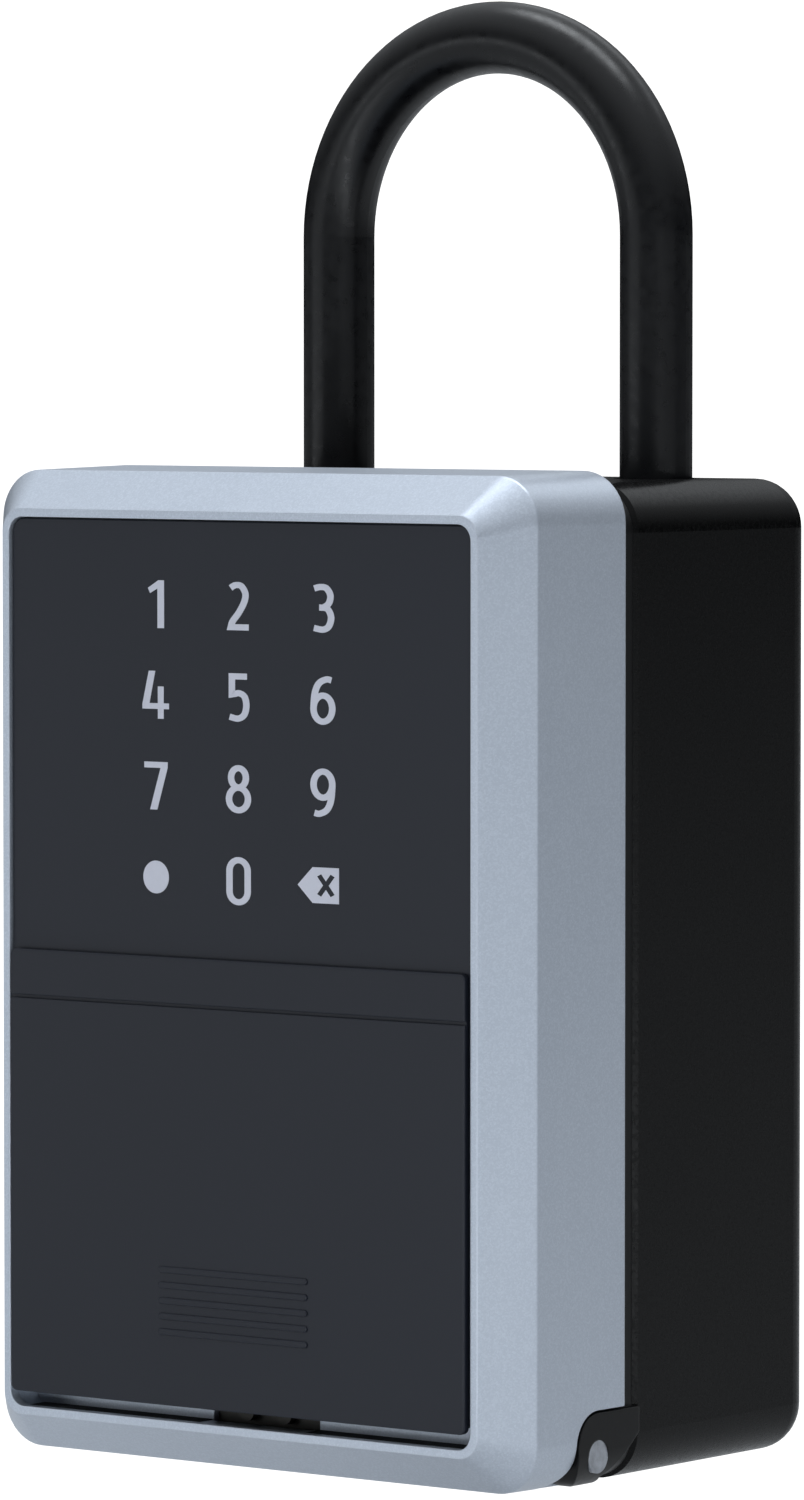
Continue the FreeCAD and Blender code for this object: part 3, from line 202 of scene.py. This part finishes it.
def silver_paint():
    """Metallic lacquer: fine bright flakes under a satin clear layer."""
    paint = Paint("silver_lacquer")
    flakes = paint.cells(5200)
    clouds = paint.noise(22, 3.0)
    peel = paint.noise(900, 2.0)
    base = paint.mix(paint.span(clouds, 0.0, 1.0), (0.50, 0.555, 0.640), (0.53, 0.585, 0.670))
    tone = paint.mix(paint.span(flakes, 0.0, 0.35, 0.35, 1.0), base, (0.78, 0.84, 0.93))
    soft = paint.rounded(LACQUER_RADIUS)
    # Painted highlight: the edges are lightened towards a paler silver.
    tone = paint.mix(paint.painted_edge_highlight(soft), tone, (0.66, 0.71, 0.80))
    paint.join(tone, paint.shader.inputs["Base Color"])
    paint.join(paint.span(flakes, 0.34, 0.46, 0.0, 1.0), paint.shader.inputs["Roughness"])
    paint.bump([peel, flakes], 0.10, 0.00004, soft)
    paint.put("Metallic", 0.55)
    paint.put("Coat Weight", 0.25)
    paint.put("Coat Roughness", 0.30)
    return paint.material


FINISHES = {
    "silver_paint": silver_paint(),
    "panel_gloss": surface("dark_panel", (0.0105, 0.0128, 0.0205), rough=0.42, rough_vary=0.03, vary=0.05,
                           vary_scale=25, grain=2600, grain_strength=0.04, specular=0.35),
    "cover_gloss": surface("dark_cover", (0.0105, 0.0128, 0.0205), rough=0.42, rough_vary=0.03, vary=0.05,
                           vary_scale=25, grain=2600, grain_strength=0.05, specular=0.35, edge_highlight=0.6),
    "jacket_plastic": surface("black_jacket", (0.0022, 0.0022, 0.0023), rough=0.26, vary=0.25, grain=1600,
                              grain_strength=0.10, specular=0.14),
    "housing_black": surface("black_casting", (0.0045, 0.0045, 0.0048), rough=0.34, vary=0.2, grain=1300,
                             grain_strength=0.16, specular=0.22, edge_highlight=2.0),
    "shackle_vinyl": surface("satin_vinyl", (0.0014, 0.0016, 0.0024), rough=0.31, vary=0.2, grain=700,
                             grain_strength=0.10, specular=0.36),
    "seal_rubber": surface("black_rubber", (0.012, 0.012, 0.012), rough=0.8, vary=0.2, specular=0.3),
    "mat_rubber": surface("mat_rubber", (0.016, 0.016, 0.016), rough=0.85, vary=0.2, specular=0.3),
    "pin_steel": surface("ground_steel", (0.44, 0.46, 0.50), metallic=1.0, rough=0.40, vary=0.22,
                         vary_scale=700, grain=2500, grain_strength=0.5, stretch=(0.2, 1, 1)),
    "shackle_steel": surface("bright_bar", (0.55, 0.55, 0.56), metallic=1.0, rough=0.24, vary=0.06,
                             stretch=(1, 1, 0.08)),
    "screw_steel": surface("plated_screw", (0.45, 0.45, 0.46), metallic=1.0, rough=0.32, vary=0.12,
                           edge_highlight=0.4),
    "plate_steel": surface("stamped_steel", (0.50, 0.50, 0.50), metallic=1.0, rough=0.36, vary=0.10,
                           stretch=(0.1, 1, 1), edge_highlight=0.3),
    "bracket_steel": surface("folded_steel", (0.45, 0.45, 0.46), metallic=1.0, rough=0.42, vary=0.10),
    "bolt_steel": surface("sintered_bolt", (0.42, 0.42, 0.42), metallic=1.0, rough=0.45, vary=0.12,
                          grain=900, grain_strength=0.3),
    "motor_steel": surface("drawn_can", (0.52, 0.52, 0.52), metallic=1.0, rough=0.30, stretch=(0.1, 1, 1)),
    "can_tin": surface("tinned_sheet", (0.60, 0.60, 0.60), metallic=1.0, rough=0.34, vary=0.08),
    "hook_steel": surface("plated_wire", (0.62, 0.62, 0.63), metallic=1.0, rough=0.16, vary=0.05),
    "contact_nickel": surface("nickel_spring", (0.62, 0.60, 0.55), metallic=1.0, rough=0.25),
    "port_brass": surface("contact_studs", (0.040, 0.038, 0.034), metallic=0.6, rough=0.4),
    "gear_brass": surface("cut_brass", (0.60, 0.44, 0.16), metallic=1.0, rough=0.3, vary=0.1),
    "block_zinc": surface("tumbled_zinc", (0.33, 0.34, 0.35), metallic=0.9, rough=0.5, vary=0.1, grain=600,
                          grain_strength=0.3, edge_highlight=0.3),
    "bush_plastic": surface("black_acetal", (0.012, 0.012, 0.013), rough=0.38, vary=0.1),
    "cover_black": surface("inner_moulding", (0.014, 0.014, 0.015), rough=0.55, vary=0.15, grain=1500,
                           grain_strength=0.3, edge_highlight=0.8),
    "knob_plastic": surface("knob_moulding", (0.020, 0.020, 0.022), rough=0.5, vary=0.15, edge_highlight=0.8),
    "chassis_plastic": surface("glass_filled", (0.020, 0.020, 0.021), rough=0.6, vary=0.15, grain=900,
                               grain_strength=0.3),
    "shoe_plastic": surface("natural_acetal", (0.62, 0.62, 0.59), rough=0.4, vary=0.05),
    "button_grey": surface("grey_button", (0.09, 0.09, 0.10), rough=0.45, vary=0.1, edge_highlight=0.5),
    "board_green": surface("solder_mask", (0.015, 0.09, 0.035), rough=0.3, vary=0.2, vary_scale=300),
    "cell_wrap": surface("cell_sleeve", (0.035, 0.09, 0.24), rough=0.28, vary=0.05),
}
for row in frame["record"]["subparts"]:
    mesh = frame["nodes"][row["node"]].data
    mesh.materials.clear()
    mesh.materials.append(FINISHES[row["material_slot"]])

# ---------------------------------------------------------------- printed keypad
PRINT = surface("keypad_print", (0.63, 0.645, 0.73), rough=0.5, rough_vary=0.04, vary=0.03, vary_scale=400,
                grain=2600, grain_strength=0.05, specular=0.3)
STROKE = (0.49, 0.37)
CROSS = (0.36, 0.27)
LAYER = 0.004
BACK_ARROW = [(-3.85, -0.02), (-1.58, -2.15), (2.42, -2.15), (2.42, 2.15), (-1.58, 2.15)]
PRINT_PROUD = 0.03
PRINT_SUNK = 0.02
DOT_RADIUS = 2.0
CROSS_HALF_WIDE = 1.02
CROSS_HALF_TALL = 1.20
CROSS_SHIFT = 0.45
CROSS_PROUD = 0.012
CROSS_SUNK = 0.002
COLUMNS = (-12.6, 0.2, 13.1)
ROWS = (105.4, 94.4, 83.35, 72.25)


def arc(cx, cz, rx, rz, start, end, steps=20):
    """Points on an ellipse, angles in degrees from +x towards +z."""
    turns = [math.radians(start + (end - start) * i / steps) for i in range(steps + 1)]
    return [(cx + rx * math.cos(t), cz + rz * math.sin(t)) for t in turns]


def curve(points, steps=12):
    """A smooth line through the points."""
    padded = [points[0]] + list(points) + [points[-1]]
    found = []
    for a, b, c, d in zip(padded, padded[1:], padded[2:], padded[3:]):
        for i in range(steps):
            t = i / steps
            found.append(tuple(0.5 * (2 * q + (r - p) * t + (2 * p - 5 * q + 4 * r - s) * t * t
                                      + (3 * q - p - 3 * r + s) * t ** 3)
                               for p, q, r, s in zip(a, b, c, d)))
    return found + [points[-1]]


def ribbon(path, closed, stroke):
    """The outline of a stroke: a list of (left, right) points along the path."""
    squeeze = stroke[0] / stroke[1]
    flat = [Vector((x / squeeze, z)) for x, z in path]
    count = len(flat)
    pairs = []
    for i, here in enumerate(flat):
        before = flat[(i - 1) % count] if closed or i else None
        after = flat[(i + 1) % count] if closed or i < count - 1 else None
        into = (here - before).normalized() if before is not None else None
        onward = (after - here).normalized() if after is not None else None
        into = onward if into is None else into
        onward = into if onward is None else onward
        normal = Vector((-(into + onward).y, (into + onward).x)).normalized()
        reach = normal * (stroke[1] / max(0.45, normal.dot(Vector((-into.y, into.x)))))
        pairs.append(tuple((point.x * squeeze, point.y) for point in (here + reach, here - reach)))
    return pairs


def lay_ribbon(bm, path, centre, front, back, closed=False, stroke=STROKE):
    """A stroke of even width along the path, from the front plane to the back plane."""
    rings = []
    for left, right in ribbon(path, closed, stroke):
        corners = []
        for (x, z), y in ((left, front), (right, front), (right, back), (left, back)):
            corners.append(bm.verts.new(((centre[0] + x) * MM, y * MM, (centre[1] + z) * MM)))
        rings.append(corners)
    steps = len(rings) if closed else len(rings) - 1
    for i in range(steps):
        a, b = rings[i], rings[(i + 1) % len(rings)]
        for j in range(4):
            k = (j + 1) % 4
            bm.faces.new((a[j], a[k], b[k], b[j]))
    if not closed:
        bm.faces.new(rings[0][::-1])
        bm.faces.new(rings[-1])


def lay_plate(bm, outline, centre, front, back):
    """A plate with the outline, from the front plane to the back plane."""
    sides = []
    for y in (front, back):
        sides.append([bm.verts.new(((centre[0] + x) * MM, y * MM, (centre[1] + z) * MM))
                      for x, z in outline])
    bm.faces.new(sides[0])
    bm.faces.new(sides[1][::-1])
    for i in range(len(outline)):
        k = (i + 1) % len(outline)
        bm.faces.new((sides[0][i], sides[1][i], sides[1][k], sides[0][k]))


def finish_mesh(bm, name, material, body):
    """The collected faces as a piece that moves with the body."""
    bmesh.ops.recalc_face_normals(bm, faces=bm.faces)
    mesh = bpy.data.meshes.new(name)
    bm.to_mesh(mesh)
    bm.free()
    piece = bpy.data.objects.new(name, mesh)
    scene.collection.objects.link(piece)
    mesh.materials.append(material)
    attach(piece, body)
    return piece


STROKES = {
    "0": [(arc(0, 1.24, 1.40, 1.30, 0, 180) + arc(0, -1.24, 1.40, 1.30, 180, 360), True)],
    "2": [(curve([(-1.18, 2.18), (-0.45, 2.52), (0.45, 2.42), (1.08, 1.55), (0.92, 0.55), (0.10, -0.75),
                  (-0.80, -1.75), (-1.10, -2.25)])[:-6] + [(-1.16, -2.54), (1.60, -2.54)], False)],
    "3": [(curve([(-1.30, 2.36), (-0.40, 2.54), (0.55, 2.40), (1.14, 1.55), (0.90, 0.62), (0.10, 0.12),
                  (-0.55, 0.10)]), False),
          (curve([(-0.10, 0.10), (0.75, -0.10), (1.25, -1.05), (0.90, -2.12), (0.0, -2.54), (-1.35, -2.36)]),
           False)],
    "5": [([(1.32, 2.54), (-1.00, 2.54), (-1.00, 0.36)] + curve([(-0.55, 0.42), (0.15, 0.52), (0.95, 0.10),
           (1.22, -0.95), (0.90, -2.05), (-0.05, -2.54), (-1.35, -2.34)]), False)],
    "6": [(curve([(1.28, 2.42), (0.50, 2.52), (-0.60, 2.02), (-1.22, 0.85), (-1.42, -0.90)]), False),
          (arc(0, -0.98, 1.42, 1.56, 0, 360, 40)[:-1], True)],
    "8": [(arc(0, 1.38, 1.14, 1.16, 0, 360, 40)[:-1], True),
          (arc(0, -1.18, 1.46, 1.36, 0, 360, 40)[:-1], True)],
}
STROKES["9"] = [([(-x, -z) for x, z in path], closed) for path, closed in STROKES["6"]]
PLATES = {
    "1": [[(1.30, 2.90), (0.42, 2.90), (-1.22, 1.95), (-0.88, 1.32), (0.27, 1.90), (0.27, -2.90),
           (1.30, -2.90)]],
    "4": [[(-1.10, 2.90), (-0.08, 2.90), (-1.00, -1.02), (0.31, -1.02), (0.31, 1.02), (1.22, 1.02),
           (1.22, -1.02), (2.05, -1.02), (2.05, -1.72), (1.22, -1.72), (1.22, -2.90), (0.31, -2.90),
           (0.31, -1.72), (-2.10, -1.72), (-2.10, -1.15)]],
    "7": [[(-1.82, 2.90), (1.82, 2.90), (1.82, 2.20), (0.20, -2.90), (-0.92, -2.90), (0.72, 2.18),
           (-1.82, 2.18)]],
}
panel_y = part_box("keypad_panel")[0].y / MM
print_front, print_back = panel_y - PRINT_PROUD, panel_y + PRINT_SUNK
bm = bmesh.new()
for number, digit in enumerate("123456789"):
    spot = (COLUMNS[number % 3], ROWS[number // 3])
    for layer, (path, closed) in enumerate(STROKES.get(digit, ())):
        lay_ribbon(bm, path, spot, print_front - layer * LAYER, print_back, closed)
    for outline in PLATES.get(digit, ()):
        lay_plate(bm, outline, spot, print_front, print_back)
for path, closed in STROKES["0"]:
    lay_ribbon(bm, path, (COLUMNS[1], ROWS[3]), print_front, print_back, closed)
lay_plate(bm, arc(0, 0, DOT_RADIUS, DOT_RADIUS, 0, 360, 48)[:-1], (COLUMNS[0], ROWS[3]), print_front,
          print_back)
lay_plate(bm, BACK_ARROW, (COLUMNS[2], ROWS[3]), print_front, print_back)
finish_mesh(bm, "keypad_digits", PRINT, "door")
bm = bmesh.new()
for sign in (-1, 1):
    bar = [(-CROSS_HALF_WIDE, -CROSS_HALF_TALL * sign), (CROSS_HALF_WIDE, CROSS_HALF_TALL * sign)]
    lay_ribbon(bm, bar, (COLUMNS[2] + CROSS_SHIFT, ROWS[3]),
               print_front - CROSS_PROUD - LAYER * sign, print_front + CROSS_SUNK, stroke=CROSS)
finish_mesh(bm, "erase_cross", FINISHES["panel_gloss"], "door")

# ---------------------------------------------------------------- grip ribs on the slide cover
RIB_COUNT = 5
RIB_PITCH = 1.9
RIB_MIDDLE = 20.8
RIB_HALF_LONG = 11.5
RIB_HALF_TALL = 0.42
RIB_PROUD = 0.22
RIB_SUNK = 0.1
RIB_ROUNDING = 0.16
cover_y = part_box("slide_cover")[0].y / MM
rib_end = RIB_HALF_LONG - RIB_HALF_TALL
rib_outline = (arc(rib_end, 0, RIB_HALF_TALL, RIB_HALF_TALL, -90, 90, 8)
               + arc(-rib_end, 0, RIB_HALF_TALL, RIB_HALF_TALL, 90, 270, 8))
bm = bmesh.new()
for number in range(RIB_COUNT):
    height = RIB_MIDDLE + RIB_PITCH * (number - RIB_COUNT // 2)
    lay_plate(bm, rib_outline, (0, height), cover_y - RIB_PROUD, cover_y + RIB_SUNK)
ribs = finish_mesh(bm, "cover_grip_ribs", FINISHES["cover_gloss"], "cover")
rounding = ribs.modifiers.new("rounding", "BEVEL")
rounding.width = RIB_ROUNDING * MM
rounding.segments = 3
rounding.limit_method = "ANGLE"

# ---------------------------------------------------------------- floor, light and background
WHITE_LEVEL = 1.2
CENTRE = (0.0, 0.0, 0.09)
COOL = (0.92, 0.96, 1.0)
FLOOR_HALF = 6.0
FLOOR_HEIGHT = -0.06
floor_mesh = bpy.data.meshes.new("floor")
corners = [(x * FLOOR_HALF, y * FLOOR_HALF, FLOOR_HEIGHT) for x, y in ((-1, -1), (1, -1), (1, 1), (-1, 1))]
floor_mesh.from_pydata(corners, [], [(0, 1, 2, 3)])
floor = bpy.data.objects.new("floor", floor_mesh)
scene.collection.objects.link(floor)
floor_paint = Paint("pale_floor")
mottle = floor_paint.noise(3.0, 3.0)
tone = floor_paint.mix(floor_paint.span(mottle, 0.0, 1.0), (0.56, 0.565, 0.57), (0.60, 0.605, 0.61))
floor_paint.join(tone, floor_paint.shader.inputs["Base Color"])
floor_paint.put("Roughness", 0.9)
glow = floor_paint.nodes.new("ShaderNodeEmission")
glow.inputs["Strength"].default_value = WHITE_LEVEL
seen = floor_paint.nodes.new("ShaderNodeMixShader")
floor_paint.join(floor_paint.nodes.new("ShaderNodeLightPath").outputs["Is Camera Ray"], seen.inputs[0])
floor_paint.join(floor_paint.shader.outputs[0], seen.inputs[1])
floor_paint.join(glow.outputs[0], seen.inputs[2])
floor_paint.join(seen.outputs[0], floor_paint.out.inputs["Surface"])
floor_mesh.materials.append(floor_paint.material)


def area_light(name, place, target, size, power):
    """A rectangular light at the place, turned towards the target."""
    data = bpy.data.lights.new(name, "AREA")
    data.shape = "RECTANGLE"
    data.size, data.size_y = size
    data.energy = power
    data.color = COOL
    lamp = bpy.data.objects.new(name, data)
    scene.collection.objects.link(lamp)
    lamp.location = place
    lamp.rotation_mode = "QUATERNION"
    lamp.rotation_quaternion = (Vector(target) - Vector(place)).to_track_quat("-Z", "Y")


area_light("overhead", (0.0, 0.10, 1.25), CENTRE, (1.0, 0.4), 6.8)
area_light("back_high", (-0.1, 0.95, 0.95), CENTRE, (1.2, 0.3), 0.8)
area_light("right_low", (1.2, -0.45, -0.03), (0.0, 0.0, 0.03), (1.4, 0.06), 0.60)
area_light("front_low", (0.20, -0.45, -0.035), (0.1, 0.0, 0.02), (0.8, 0.03), 0.5)
area_light("left_front", (-0.76, -0.93, 0.0), CENTRE, (0.9, 0.3), 1.1)

world = bpy.data.worlds.new("studio")
scene.world = world
world.use_nodes = True
tree = world.node_tree


def spread(value, ends, levels):
    """A level that goes from the first to the second as the value goes between the ends."""
    node = tree.nodes.new("ShaderNodeMapRange")
    node.inputs["From Min"].default_value, node.inputs["From Max"].default_value = ends
    node.inputs["To Min"].default_value, node.inputs["To Max"].default_value = levels
    tree.links.new(value, node.inputs["Value"])
    return node.outputs[0]


direction = tree.nodes.new("ShaderNodeSeparateXYZ")
tree.links.new(tree.nodes.new("ShaderNodeTexCoord").outputs["Generated"], direction.inputs[0])
tent = tree.nodes.new("ShaderNodeMath")
tent.operation = "ADD"
tree.links.new(spread(direction.outputs["Y"], (-0.4, 0.35), (0.10, 0.0)), tent.inputs[0])
tree.links.new(spread(direction.outputs["Z"], (0.1, 0.7), (0.0, 0.78)), tent.inputs[1])
background = tree.nodes["Background"]
background.inputs["Color"].default_value = (*COOL, 1.0)
tree.links.new(tent.outputs[0], background.inputs["Strength"])
white = tree.nodes.new("ShaderNodeBackground")
white.inputs["Strength"].default_value = WHITE_LEVEL
white.inputs["Color"].default_value = (1.0, 1.0, 1.0, 1.0)
chooser = tree.nodes.new("ShaderNodeMixShader")
ray = tree.nodes.new("ShaderNodeLightPath")
tree.links.new(ray.outputs["Is Camera Ray"], chooser.inputs[0])
tree.links.new(background.outputs[0], chooser.inputs[1])
tree.links.new(white.outputs[0], chooser.inputs[2])
tree.links.new(chooser.outputs[0], tree.nodes["World Output"].inputs["Surface"])
